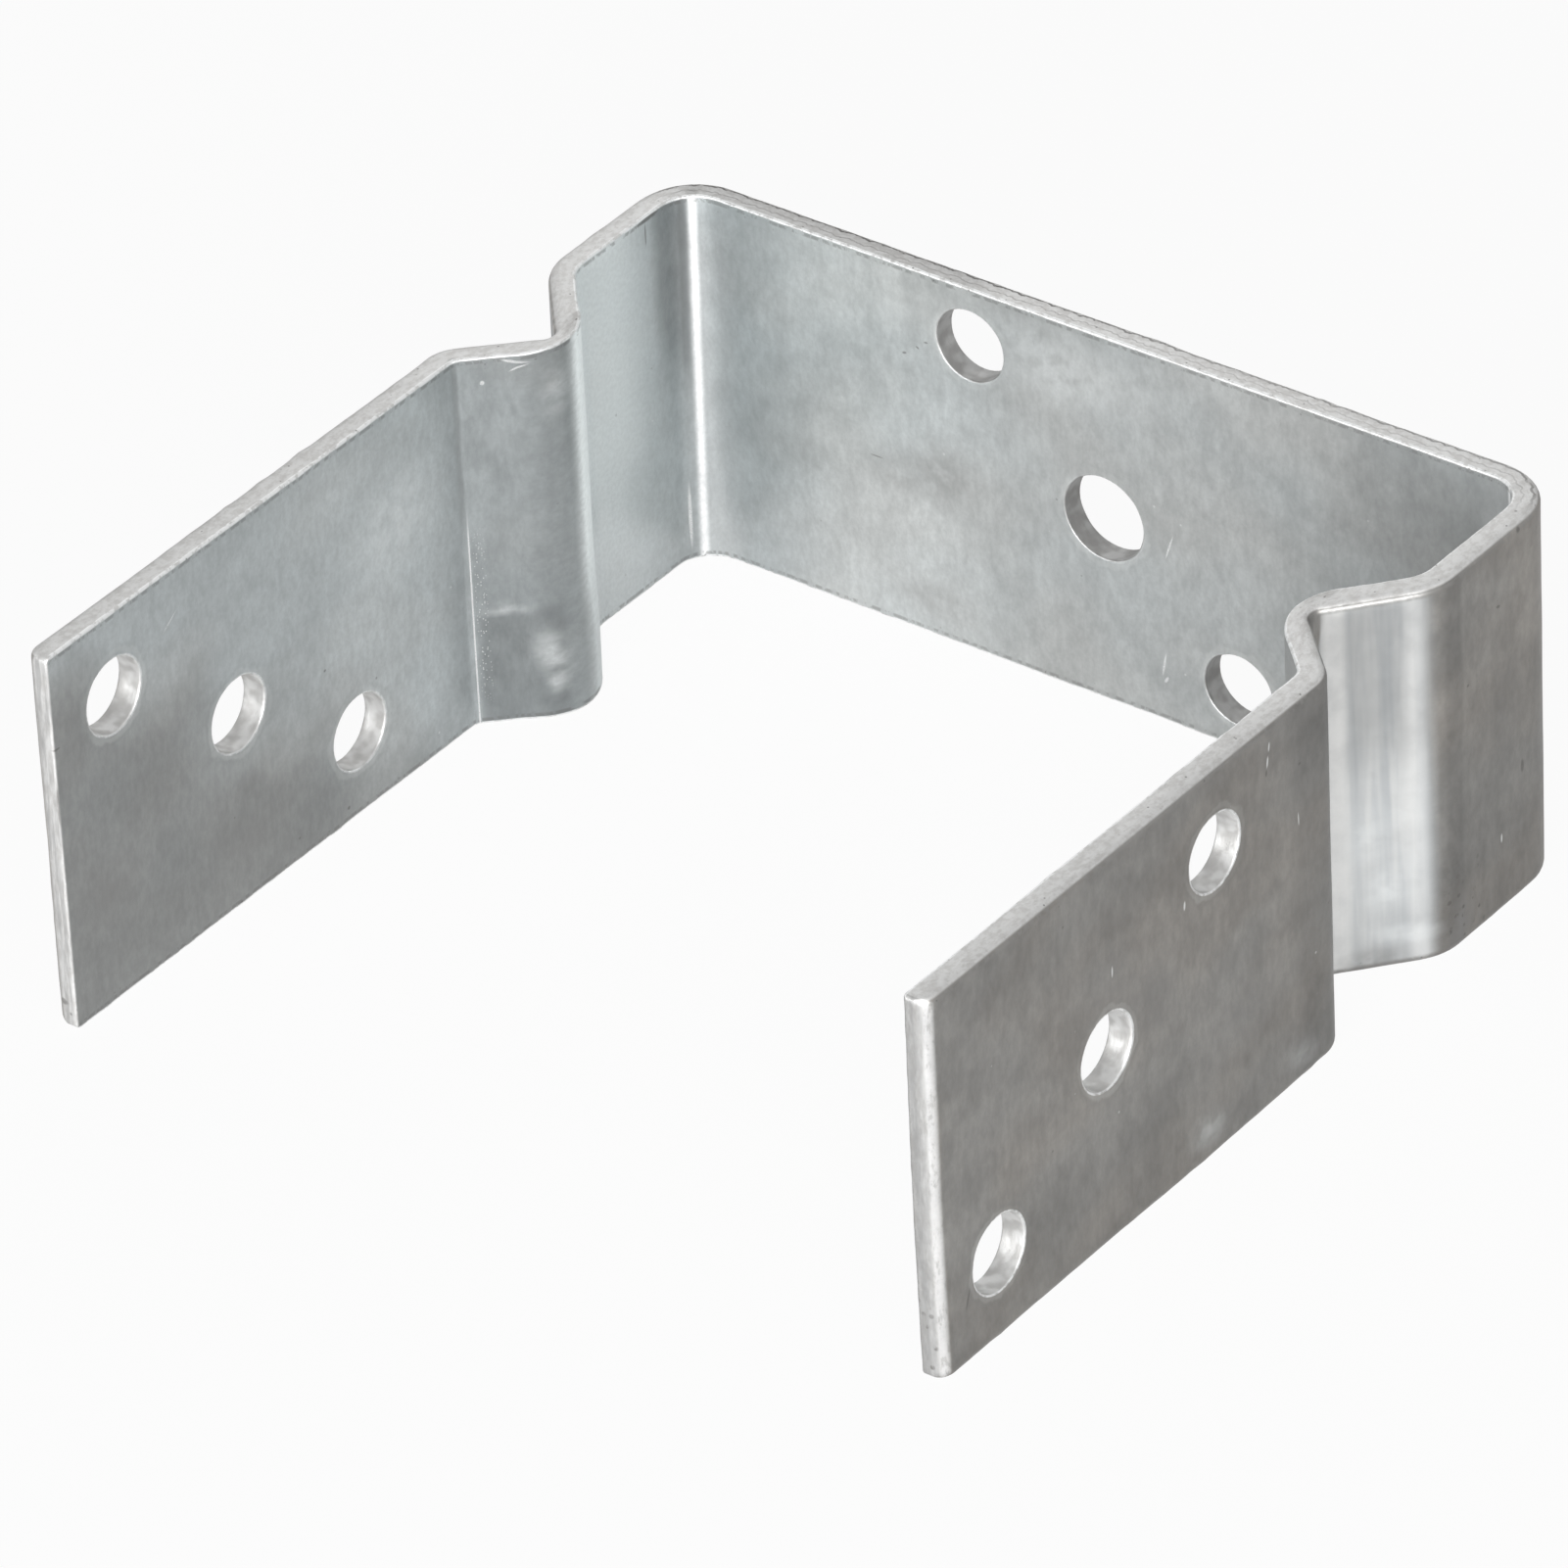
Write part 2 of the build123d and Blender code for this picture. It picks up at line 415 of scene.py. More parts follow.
class Shell:
    """One closed mesh in the making, from the strip's grid of points, in millimetres."""

    def __init__(self):
        self.points, self.places, self.rows, self.columns = strip_grid()
        self.count, self.around = self.points.shape[:2]
        self.used = np.ones((self.count - 1, self.around), bool)
        self.inside = np.arange(self.rows + 1)
        self.outside = 2 * self.rows + self.columns - self.inside
        self.vertices = [self.points.reshape(-1, 3)]
        self.strip_places = [self.places.reshape(-1, 3)]
        self.total = self.count * self.around
        self.faces = []

    def add(self, points, places):
        """Adds vertices and returns their numbers."""
        self.vertices.append(points)
        self.strip_places.append(places)
        self.total += len(points)
        return np.arange(self.total - len(points), self.total)

    def bridge(self, ring_a, ring_b):
        """Quads between two rings of vertices."""
        self.faces.extend(zip(ring_a, np.roll(ring_a, -1), np.roll(ring_b, -1), ring_b))

    def punch(self, centre, tangent, outward, radius):
        """Takes the cells round a hole out of both faces and lines the hole with rings."""
        sides = ((self.inside, 0.0), (self.outside, THICKNESS))
        first, last, low, high = block_around(self.points, sides, centre, tangent, outward, radius)
        at_station, at_row = np.array(ring_order(first, last, low, high)).T
        borders = []
        for side_columns, _ in sides:
            for a, b in zip(side_columns[low:high], side_columns[low + 1: high + 1]):
                self.used[first:last, min(a, b)] = False
            at_column = side_columns[at_row]
            at = self.points[at_station, at_column]
            local = np.column_stack([(at - centre) @ tangent, at[:, 2] - centre[2]])
            borders.append((at_station * self.around + at_column, local))
        (index_in, local_in), (index_out, local_out) = borders
        along_in = self.places[at_station, self.inside[at_row], 0]
        middle_along = (along_in - local_in[:, 0]).mean()

        def ring(local, depth):
            spot = centre + np.outer(local[:, 0], tangent) + outward * depth
            spot[:, 2] += local[:, 1]
            place = np.column_stack([
                middle_along + local[:, 0], centre[2] + local[:, 1], np.full(len(local), depth)
            ])
            return self.add(spot, place)

        way_in, way_out = unit(local_in), unit(local_out)
        rim_in, rim_out = way_in * (radius + HOLE_RIM), way_out * (radius + HOLE_RIM)
        angles = np.radians(np.linspace(0, 90, HOLE_RIM_STEPS + 1)[1:])
        arc = [(HOLE_RIM * (1 - math.sin(a)), HOLE_RIM * (1 - math.cos(a))) for a in angles]
        wall = np.linspace(HOLE_RIM, THICKNESS - HOLE_RIM, HOLE_WALL_STEPS + 1)[1:-1]
        chain = [index_in]
        chain += [ring(local_in + (rim_in - local_in) * t, 0.0) for t in HOLE_FACE_SHARES]
        chain += [ring(way_in * (radius + wide), depth) for wide, depth in arc]
        for number, depth in enumerate(wall, 1):
            blend = number / HOLE_WALL_STEPS
            way = unit(way_in * (1 - blend) + way_out * blend)
            chain.append(ring(way * (radius + WALL_BULGE * math.sin(math.pi * blend)), depth))
        chain += [ring(way_out * (radius + wide), THICKNESS - depth) for wide, depth in arc[::-1]]
        chain += [
            ring(local_out + (rim_out - local_out) * t, THICKNESS) for t in HOLE_FACE_SHARES[::-1]
        ]
        chain.append(index_out)
        for ring_a, ring_b in zip(chain, chain[1:]):
            self.bridge(ring_b, ring_a)

    def skin(self):
        """Quads for all cells of the grid that no hole took."""
        station, loop = np.nonzero(self.used)
        a = station * self.around + loop
        b = station * self.around + (loop + 1) % self.around
        self.faces.extend(zip(a, b, b + self.around, a + self.around))

    def filled(self, loop):
        """Points inside a section's loop, blended between its four sides."""
        v = np.linspace(0, 1, self.rows + 1)[:, None, None]
        u = np.linspace(0, 1, self.columns + 1)[None, :, None]
        under = self.around - np.arange(1, self.columns)
        left, right = loop[self.inside][:, None], loop[self.outside][:, None]
        top = loop[self.rows: self.rows + self.columns + 1][None]
        bottom = loop[np.r_[0, under, 2 * self.rows + self.columns]][None]
        patch = (left * (1 - u) + right * u) + (bottom * (1 - v) + top * v)
        patch = patch - ((1 - u) * (1 - v) * left[:1] + u * (1 - v) * right[:1]
                         + (1 - u) * v * left[-1:] + u * v * right[-1:])
        return patch[1:-1, 1:-1].reshape(-1, 3)

    def close_end(self, station, flipped):
        """Fills the section at one end of the strip with a grid of quads."""
        rows, columns = self.rows, self.columns
        base = station * self.around
        grid = np.full((rows + 1, columns + 1), -1)
        grid[:, 0] = base + self.inside
        grid[:, columns] = base + self.outside
        grid[rows, 1:columns] = base + rows + np.arange(1, columns)
        grid[0, 1:columns] = base + self.around - np.arange(1, columns)
        inner = self.add(self.filled(self.points[station]), self.filled(self.places[station]))
        grid[1:-1, 1:-1] = inner.reshape(rows - 1, columns - 1)
        corners = (grid[:-1, :-1], grid[:-1, 1:], grid[1:, 1:], grid[1:, :-1])
        quads = np.stack(corners, -1).reshape(-1, 4)
        self.faces.extend(map(tuple, quads[:, ::-1] if flipped else quads))


def build_strip():
    """The whole strip as one closed mesh in millimetres: vertices, faces, strip places."""
    shell = Shell()
    for hole in hole_list():
        shell.punch(*hole)
    shell.skin()
    shell.close_end(0, False)
    shell.close_end(shell.count - 1, True)
    return np.vstack(shell.vertices), shell.faces, np.vstack(shell.strip_places)


def hole_gaps(points):
    """How far each vertex is from the wall of the nearest hole, in mm, up to a limit."""
    gaps = np.full(len(points), FAR_FROM_HOLE)
    for centre, tangent, outward, radius in hole_list():
        offset = points - centre
        near = np.abs(offset @ outward) < THICKNESS + 1
        gap = np.hypot(offset @ tangent, offset[:, 2]) - radius
        gaps[near] = np.minimum(gaps[near], gap[near])
    return gaps


def unevenness(places, hole_gap):
    """How far the zinc coat stands off the true faces, in mm."""
    half = STRIP_WIDTH / 2
    edge_gap = np.minimum(half - np.abs(places[:, 1]), HALF_STRIP - np.abs(places[:, 0]))
    at_edge = np.exp(-np.clip(edge_gap, 0, None) / EDGE_REACH)
    at_hole = np.exp(-np.clip(hole_gap, 0, None) / HOLE_REACH)
    stand = np.empty(len(places))
    for index, (s, w, u) in enumerate(places):
        slow = noise.noise(Vector((s / 15, w / 17, u / 9)))
        coat = noise.noise(Vector((s / 6.5, w / 6.5, u + 9)))
        fine = noise.noise(Vector((s / 2.3, w / 2.3, u / 2.3)))
        rough = FINE_WAVE * fine * (at_edge[index] + at_hole[index])
        stand[index] = SLOW_WAVE * slow + COAT_WAVE * coat + rough
    return stand - COAT_SUNK


def smooth_step(value, low, high):
    """A smooth rise from 0 to 1 while the value goes from low to high."""
    share = np.clip((value - low) / (high - low), 0, 1)
    return share * share * (3 - 2 * share)


def fold_error(places):
    """How far the folded sheet itself strays outwards from its nominal line, in mm."""
    along, height = places[:, 0], places[:, 1]
    crest = np.exp(-((along - LEFT_CREST) / CREST_LENGTH) ** 2)
    bulge = crest * (CREST_BULGE + CREST_BULGE_BELOW * smooth_step(-height, 8, 20))
    low_down = np.clip(-height / (STRIP_WIDTH / 2), 0, 1) ** 1.5
    lean = smooth_step(along, 131, 150) * LEG_LEAN * low_down
    dents = 0.0
    for s, w, wide, tall, depth in DENTS:
        dents = dents + depth * np.exp(-((along - s) / wide) ** 2 - ((height - w) / tall) ** 2)
    return lean - bulge + dents


def zinc_lumps(places):
    """Small runs and lumps of zinc on the edges, as (height above the coat) per vertex."""
    random = np.random.default_rng(7)
    raised = np.zeros(len(places))
    on_top = np.where(random.random(LUMP_COUNT) < LUMP_SHARE_ON_TOP, 1, -1)
    for height in on_top * (STRIP_WIDTH / 2 - 0.25):
        along = random.uniform(-HALF_STRIP, HALF_STRIP)
        depth = random.choice([0.3, THICKNESS - 0.6])
        size = random.uniform(0.5, 1.1)
        offset = (places - (along, height, depth)) / (size * 1.4, size, size)
        gap = np.linalg.norm(offset, axis=1)
        raised += random.uniform(0.05, 0.14) * np.exp(-gap * gap)
    return raised


def patch_share(places, spots):
    """How strongly each vertex lies in soft patches, which fade out from their middles."""
    share = np.zeros(len(places))
    for spot, length, width, angle, strength in spots:
        c, s = math.cos(math.radians(angle)), math.sin(math.radians(angle))
        x, y, z = (places - spot).T
        reach = np.hypot((x * c + y * s) / length, (y * c - x * s) / width)
        reach = np.hypot(reach, z / PATCH_DEPTH)
        share = np.maximum(share, strength * (1 - smooth_step(reach, 0, 1)))
    return share


def faced_outwards(mesh):
    """Turns all faces of a mesh the same way and returns its vertices' normals."""
    bm = bmesh.new()
    bm.from_mesh(mesh)
    bmesh.ops.recalc_face_normals(bm, faces=bm.faces)
    bm.to_mesh(mesh)
    bm.free()
    mesh.update()
    normals = np.empty(len(mesh.vertices) * 3, np.float32)
    mesh.vertex_normals.foreach_get("vector", normals)
    return normals.reshape(-1, 3)


def coated(points, places, normals, hole_gap):
    """The vertices in metres, with the coat, its lumps and the fold's own errors."""
    stand = unevenness(places, hole_gap) + zinc_lumps(places)
    shaped = points + normals * stand[:, None]
    line_in, line_out, along = stations()
    out = (line_out - line_in) / np.linalg.norm(line_out - line_in, axis=1)[:, None]
    stray = fold_error(places)
    for axis in (0, 1):
        shaped[:, axis] += np.interp(places[:, 0], along, out[:, axis]) * stray
    lowest, highest = (np.array(corner) * 1000 for corner in cad_box)
    return np.clip(shaped, lowest + BOX_MARGIN, highest - BOX_MARGIN) / 1000


def strip_object():
    """The finished strip mesh, in metres, with what the material needs to know per vertex."""
    points, faces, places = build_strip()
    mesh = bpy.data.meshes.new("galvanised_strip")
    mesh.from_pydata(points.tolist(), [], [tuple(int(i) for i in f) for f in faces])
    mesh.update()
    normals = faced_outwards(mesh)
    hole_gap = hole_gaps(points)
    shaped = coated(points, places, normals, hole_gap)
    mesh.vertices.foreach_set("co", shaped.astype(np.float32).ravel())
    place = mesh.attributes.new("strip_place", "FLOAT_VECTOR", "POINT")
    place.data.foreach_set("vector", places.astype(np.float32).ravel())
    shares = {
        "hole_gap": hole_gap,
        "stained": patch_share(places, STAINS),
        "glowing": patch_share(places, HIGHLIGHT_PATCHES),
    }
    for name, values in shares.items():
        made = mesh.attributes.new(name, "FLOAT", "POINT")
        made.data.foreach_set("value", values.astype(np.float32))
    mesh.shade_smooth()
    mesh.update()
    strip = bpy.data.objects.new("galvanised_strip", mesh)
    bpy.context.scene.collection.objects.link(strip)
    return strip


class Graph:
    """Short names for the shader nodes of one material.

    The renderer keeps values that wait to be used on a small stack, and a material that
    overflows it turns black. So each mask is added to the others before the next is made, and
    no number is linked to a colour socket."""

    def __init__(self, owner):
        self.tree = owner.node_tree

    def node(self, kind, inputs=(), **settings):
        made = self.tree.nodes.new(kind)
        for name, value in settings.items():
            setattr(made, name, value)
        for key, value in dict(inputs).items():
            self.feed(made.inputs[key], value)
        return made

    def feed(self, socket, value):
        if isinstance(value, bpy.types.NodeSocket):
            self.tree.links.new(value, socket)
        else:
            socket.default_value = value

    def math(self, operation, *values):
        made = self.node("ShaderNodeMath", operation=operation)
        for socket, value in zip(made.inputs, values):
            self.feed(socket, value)
        return made.outputs[0]

    def times(self, *values):
        product = values[0]
        for value in values[1:]:
            product = self.math("MULTIPLY", product, value)
        return product

    def most(self, *values):
        highest = values[0]
        for value in values[1:]:
            highest = self.math("MAXIMUM", highest, value)
        return highest

    def ramp(self, value, low, high, to_low=0.0, to_high=1.0):
        """A smooth step from to_low to to_high while the value goes from low to high."""
        made = self.node("ShaderNodeMapRange", {
            "Value": value, "From Min": low, "From Max": high, "To Min": to_low, "To Max": to_high,
        }, interpolation_type="SMOOTHSTEP")
        return made.outputs[0]

    def band(self, value, middle, half_width, soft, gain=None):
        """One near a value and zero away from it, or else a gain near it and one away from it."""
        off = self.math("ABSOLUTE", self.math("SUBTRACT", value, middle))
        near, far = (1.0, 0.0) if gain is None else (gain, 1.0)
        return self.ramp(off, half_width, half_width + soft, near, far)

    def noise(self, place, stretch, detail=2.0, rough=0.5):
        scaled = self.node("ShaderNodeVectorMath", {0: place, 1: stretch}, operation="MULTIPLY")
        made = self.node("ShaderNodeTexNoise", {
            "Vector": scaled.outputs[0], "Scale": 1.0, "Detail": detail, "Roughness": rough,
        })
        return made.outputs[0]

    def cells(self, place, pitch, dimensions="3D"):
        """Cells with this pitch in mm: the distance to their points, and a random share."""
        pitches = (1 / pitch,) * 3
        scaled = self.node("ShaderNodeVectorMath", {0: place, 1: pitches}, operation="MULTIPLY")
        found = self.node("ShaderNodeTexVoronoi", {"Vector": scaled.outputs[0], "Scale": 1.0},
                          voronoi_dimensions=dimensions)
        pick = self.node("ShaderNodeSeparateColor", {0: found.outputs["Color"]}).outputs[0]
        return found.outputs["Distance"], pick

    def specks(self, cells, size, share):
        """Small round spots on a share of the cells."""
        distance, pick = cells
        spot = self.ramp(distance, size * 0.5, size, 1.0, 0.0)
        return self.times(spot, self.ramp(pick, 1 - share, 1 - share + 0.04))

    def mark(self, place, spot, length, width, angle):
        """A soft-ended stroke at a strip place; angle 0 lies along the strip, 90 across it."""
        local = self.node("ShaderNodeMapping", {
            "Vector": place, "Location": spot, "Rotation": (0, 0, math.radians(angle)),
            "Scale": (length, width, PATCH_DEPTH),
        }, vector_type="TEXTURE")
        near = self.node("ShaderNodeTexGradient", {"Vector": local.outputs[0]},
                         gradient_type="SPHERICAL")
        return self.ramp(near.outputs[1], 0.0, 1.0 - MARK_CORE)

    def marks(self, place, strokes):
        """All of the strokes in one mask; each is added before the next is made."""
        found = 0.0
        for stroke in strokes:
            found = self.math("MAXIMUM", self.mark(place, *stroke), found)
        return found

    def scaled(self, colour, gain):
        """A colour times a number, by a mix whose share is the gain less one."""
        made = self.node("ShaderNodeMix", data_type="RGBA", blend_type="MULTIPLY",
                         clamp_factor=False)
        share = self.math("SUBTRACT", gain, 1.0)
        for socket, value in ((0, share), (6, colour), (7, (2, 2, 2, 1))):
            self.feed(made.inputs[socket], value)
        return made.outputs[2]

    def mix(self, share, first, second, blend="MIX", tinted=None):
        """A mix of two colours by a share, multiplied by a tint where there is one."""
        made = self.node("ShaderNodeMix", data_type="RGBA", blend_type=blend)
        for socket, value in ((0, share), (6, first), (7, second)):
            self.feed(made.inputs[socket], value)
        if tinted is None:
            return made.outputs[2]
        return self.mix(1.0, made.outputs[2], tinted, "MULTIPLY")


def zinc(level, red=0.95, blue=1.0):
    """A near-neutral zinc colour: its green level, and red and blue as shares of that."""
    return (level * red, level, level * blue, 1)


# Tints, which multiply a tone, and the tones of the zinc, its dirt, and of painted reflections,
# highlights and shade
NEUTRAL_TINT = zinc(1.0, 0.985, 0.985)
COOL_TINT = zinc(1.0, 0.935, 1.015)
WARM_TINT = zinc(1.0, 1.055, 0.93)
WARMISH_TINT = zinc(1.0, 1.025, 0.955)
INSIDE_DARK = zinc(0.468, 1.0, 1.0)
INSIDE_LIGHT = zinc(0.545, 1.0, 1.0)
# Outside tones, darker and warmer than inside, partly painted shade
OUTSIDE_DARK = zinc(0.268, 1.0, 1.0)
OUTSIDE_LIGHT = zinc(0.328, 1.0, 1.0)
EDGE_DARK = zinc(0.575, 1.01, 0.98)
EDGE_LIGHT = zinc(0.685, 1.0, 0.99)
WALL_DARK = zinc(0.47, 1.01, 0.98)
WALL_LIGHT = zinc(0.64, 1.0, 0.99)
# Painted reflections and highlights, from the grooves' tones down to the rings round the holes; the
# bright tone also serves scratches
GROOVE_REFLECTION_DARK = zinc(0.52, 0.965, 1.02)
GROOVE_REFLECTION_LIGHT = zinc(0.64, 0.985, 0.995)
RIB_HIGHLIGHT_PAINT = zinc(0.98, 0.965, 1.0)
GROOVE_HIGHLIGHT_PAINT = zinc(0.92, 1.0, 0.985)
CORNER_GLOW_PAINT = zinc(0.75, 0.985, 1.0)
CORNER_AND_END_HIGHLIGHT = zinc(0.99, 1.0, 1.0)
HIGHLIGHT_PATCH_PAINT = zinc(0.88, 0.97, 1.0)
BRIGHT = zinc(0.86, 0.99, 1.0)
RING = zinc(0.72, 0.98, 0.98)
STAIN = zinc(0.25, 1.02, 0.98)
SHADE = zinc(0.2)
CREASE_SHADE = zinc(0.22)
GRAIN = zinc(0.3)
DRAG = zinc(0.33, 1.0, 1.0)
# Painted shade along the faces' edges
OUTSIDE_EDGE_SHADE = zinc(0.3, 1.02, 0.97)
INSIDE_EDGE_SHADE = zinc(0.17, 1.02, 0.98)
DIRT = zinc(0.13, 1.05, 0.95)


def strip_fields(g):
    """Where on the strip a point lies, and noise fields that break up its looks."""
    f = SimpleNamespace()
    f.place = g.node("ShaderNodeAttribute", attribute_name="strip_place").outputs["Vector"]
    f.gap, f.stained, f.glowing = (
        g.node("ShaderNodeAttribute", attribute_name=name).outputs["Fac"]
        for name in ("hole_gap", "stained", "glowing")
    )
    f.along, f.height, f.depth = g.node("ShaderNodeSeparateXYZ", {0: f.place}).outputs
    f.from_base = g.math("ABSOLUTE", f.along)
    f.from_middle = g.math("ABSOLUTE", f.height)
    f.outside = g.ramp(f.depth, 1.4, 2.6)
    f.side = g.ramp(f.from_middle, 29.45, 29.75)
    f.tip = g.ramp(f.from_base, HALF_STRIP - 0.4, HALF_STRIP - 0.12)
    f.wall = g.ramp(f.gap, 0.12, 0.4, 1.0, 0.0)
    f.cut = g.most(f.side, f.tip)

    # From large to small
    f.cloud = g.noise(f.place, (0.062, 0.075, 3.0), detail=2.0)
    f.tint = g.noise(f.place, (0.035, 0.05, 5.0), detail=1.0)
    f.mottle = g.noise(f.place, (0.24, 0.2, 1.1), detail=3.0, rough=0.6)
    f.smudge = g.noise(f.place, (0.42, 0.05, 2.0), detail=1.0)
    f.grain = g.noise(f.place, (1.6, 1.4, 1.4), detail=2.0, rough=0.6)
    f.crumb = g.noise(f.place, (0.9, 0.42, 1.3), detail=3.0, rough=0.65)
    return f


def clouded_faces(g, f):
    """The flat faces: clouded zinc, cool inside the fold, darker and warmer outside it, partly as
    painted shade for the darker, warmer reflection on the outside faces.
    """
    large = g.times(f.cloud, 0.45)
    small = g.math("ADD", g.times(f.mottle, 0.4), g.times(f.smudge, 0.15))
    f.tone = g.ramp(g.math("ADD", large, small), 0.36, 0.64)

    # At the end of the left leg, up to a soft slanting limit, the zinc is less cool, and it is
    # painted darker there as painted shade
    slant = g.math("MULTIPLY_ADD", g.math("ADD", f.along, 208.0), 0.7, f.height)
    slant = g.math("ADD", slant, g.ramp(f.cloud, 0.25, 0.75, -4.0, 4.0))
    f.past_limit = g.ramp(slant, 0.0, 34.0)
    cool = g.times(f.past_limit, g.ramp(f.along, -68.0, -45.0, 1.0, 0.35))
    cool = g.math("ADD", cool, g.ramp(f.tint, 0.3, 0.7, -0.25, 0.25))
    inner = g.mix(cool, NEUTRAL_TINT, COOL_TINT)
    inner = g.mix(f.tone, INSIDE_DARK, INSIDE_LIGHT, tinted=inner)
    # Outside: darker and warmer tones, partly painted shade
    outer = g.mix(g.ramp(f.tint, 0.38, 0.62), WARM_TINT, WARMISH_TINT)
    outer = g.mix(f.tone, OUTSIDE_DARK, OUTSIDE_LIGHT, tinted=outer)
    return g.mix(f.outside, inner, outer)


def painted_bend_light(g, f, colour):
    """Painted light and shade in bands along the strip: painted highlights inside the box, on the
    rib's crest edge and on parts of the base and left leg, and painted shade on the rib's front
    flank and its foot, towards the left leg's end, low down and on the outside.
    """
    f.within = g.math("SUBTRACT", 1.0, f.outside)
    upper = g.ramp(f.height, -22.0, 4.0)

    # Inside: painted highlights by the rib on the left leg and on the base's left, painted shade at
    # the left leg's end, on the rib's front flank and its foot, on the base's right and high on the
    # box's side by its corner
    left_end = g.ramp(f.past_limit, 0.0, 1.0, 0.6, 1.0)
    by_rib = g.band(f.along, *LEFT_LEG_BY_RIB, gain=1.12)
    flank = g.band(f.from_base, *FRONT_FLANK, gain=0.76)
    flank_foot = g.times(g.band(f.from_base, *FLANK_FOOT), g.ramp(f.height, -14.0, -9.0, 1.0, 0.0))
    flank_foot = g.ramp(flank_foot, 0.0, 1.0, 1.0, 0.72)
    base_left = g.band(f.along, *BASE_LEFT_FACE, gain=1.24)
    base_right = g.ramp(f.along, 20.0, 56.0, 1.0, 0.72)
    inside_gain = g.times(left_end, by_rib, flank, flank_foot, base_left, base_right)
    rib_side = g.times(g.ramp(f.from_base, 113.2, 115.2, 1.0, 0.0), g.ramp(f.from_base, 75.0, 90.0))
    side_foot = g.times(g.band(f.from_base, *SIDE_FOOT), g.ramp(f.height, -12.0, 16.0))
    inside_gain = g.times(inside_gain, g.ramp(side_foot, 0.0, 1.0, 1.0, 0.6))

    # Outside: painted shade low down, by the right rib, at the back bends and in bands by height;
    # lighter on the base and the left leg
    base_and_left = g.ramp(f.along, 56.0, 74.0, 1.38, 1.0)
    low_down = g.ramp(f.height, -24.0, -6.0, 0.86, 1.0)
    by_rib = g.band(f.along, *RIGHT_LEG_BY_RIB, gain=0.78)
    back_bend = g.band(f.from_base, *BACK_BEND, gain=0.82)
    clouds = g.ramp(f.tone, 0.0, 1.0, 0.96, 1.04)
    outside_gain = g.times(base_and_left, low_down, by_rib, back_bend, clouds)
    on_side = g.ramp(f.from_base, 108.0, 118.0, 1.0, 0.0)
    leg_gain = g.ramp(f.height, 4.0, 24.0, 0.96, 0.87)
    side_change = g.math("SUBTRACT", g.ramp(f.height, 2.0, 14.0, 0.87, 1.02), leg_gain)
    by_height = g.math("MULTIPLY_ADD", side_change, on_side, leg_gain)
    outside_gain = g.times(outside_gain, by_height)

    inside_gain = g.times(inside_gain, f.within)
    outside_gain = g.times(outside_gain, f.outside)
    gain = g.math("ADD", inside_gain, outside_gain)
    gain = g.times(gain, g.ramp(f.crumb, 0.3, 0.7, 0.93, 1.07))
    colour = g.scaled(colour, gain)
    # Painted highlight inside the box up to the rib's crest edge, weaker low down and away from the
    # crest
    below = g.ramp(upper, 0.0, 1.0, 0.52, 1.0)
    near_base = g.ramp(f.from_base, 96.0, 108.0, 0.84, 1.0)
    return g.mix(g.times(rib_side, f.within, below, near_base), colour, RIB_HIGHLIGHT_PAINT)


def painted_groove_reflections(g, f, colour):
    """The groove behind each rib, painted with its reflections: two bright lines as painted
    highlights with a cooler, duller band between.
    """
    shortened = g.math("MULTIPLY_ADD", g.ramp(f.height, 19.0, 28.5), 2.4, f.from_base)
    groove = g.times(
        g.ramp(f.from_base, 96.5, 99.2), g.ramp(shortened, 112.2, 113.6, 1.0, 0.0), f.outside
    )
    f.groove = g.times(groove, g.ramp(f.from_middle, 28.3, 29.2, 1.0, 0.2))
    streak = g.ramp(g.noise(f.place, (0.45, 0.025, 0.2), detail=2.5, rough=0.7), 0.34, 0.66)
    groove_reflection = g.mix(streak, GROOVE_REFLECTION_DARK, GROOVE_REFLECTION_LIGHT)
    # Painted shade by height: lighter low down, darker higher up and at the very foot
    by_height = g.times(
        g.ramp(f.height, -3.0, 12.0, 1.16, 0.8), g.ramp(f.height, -27.0, -17.0, 0.86, 1.0)
    )
    colour = g.mix(f.groove, colour, g.scaled(groove_reflection, by_height))
    # Two painted highlight lines along each groove
    front_line = g.times(g.band(f.from_base, *GROOVE_FRONT), 0.7)
    back_line = g.times(g.band(f.from_base, *GROOVE_BACK), 0.42)
    lines = g.most(front_line, back_line)
    lines = g.times(lines, f.groove, g.ramp(f.mottle, 0.3, 0.6, 0.75, 1.0))
    return g.mix(lines, colour, GROOVE_HIGHLIGHT_PAINT)


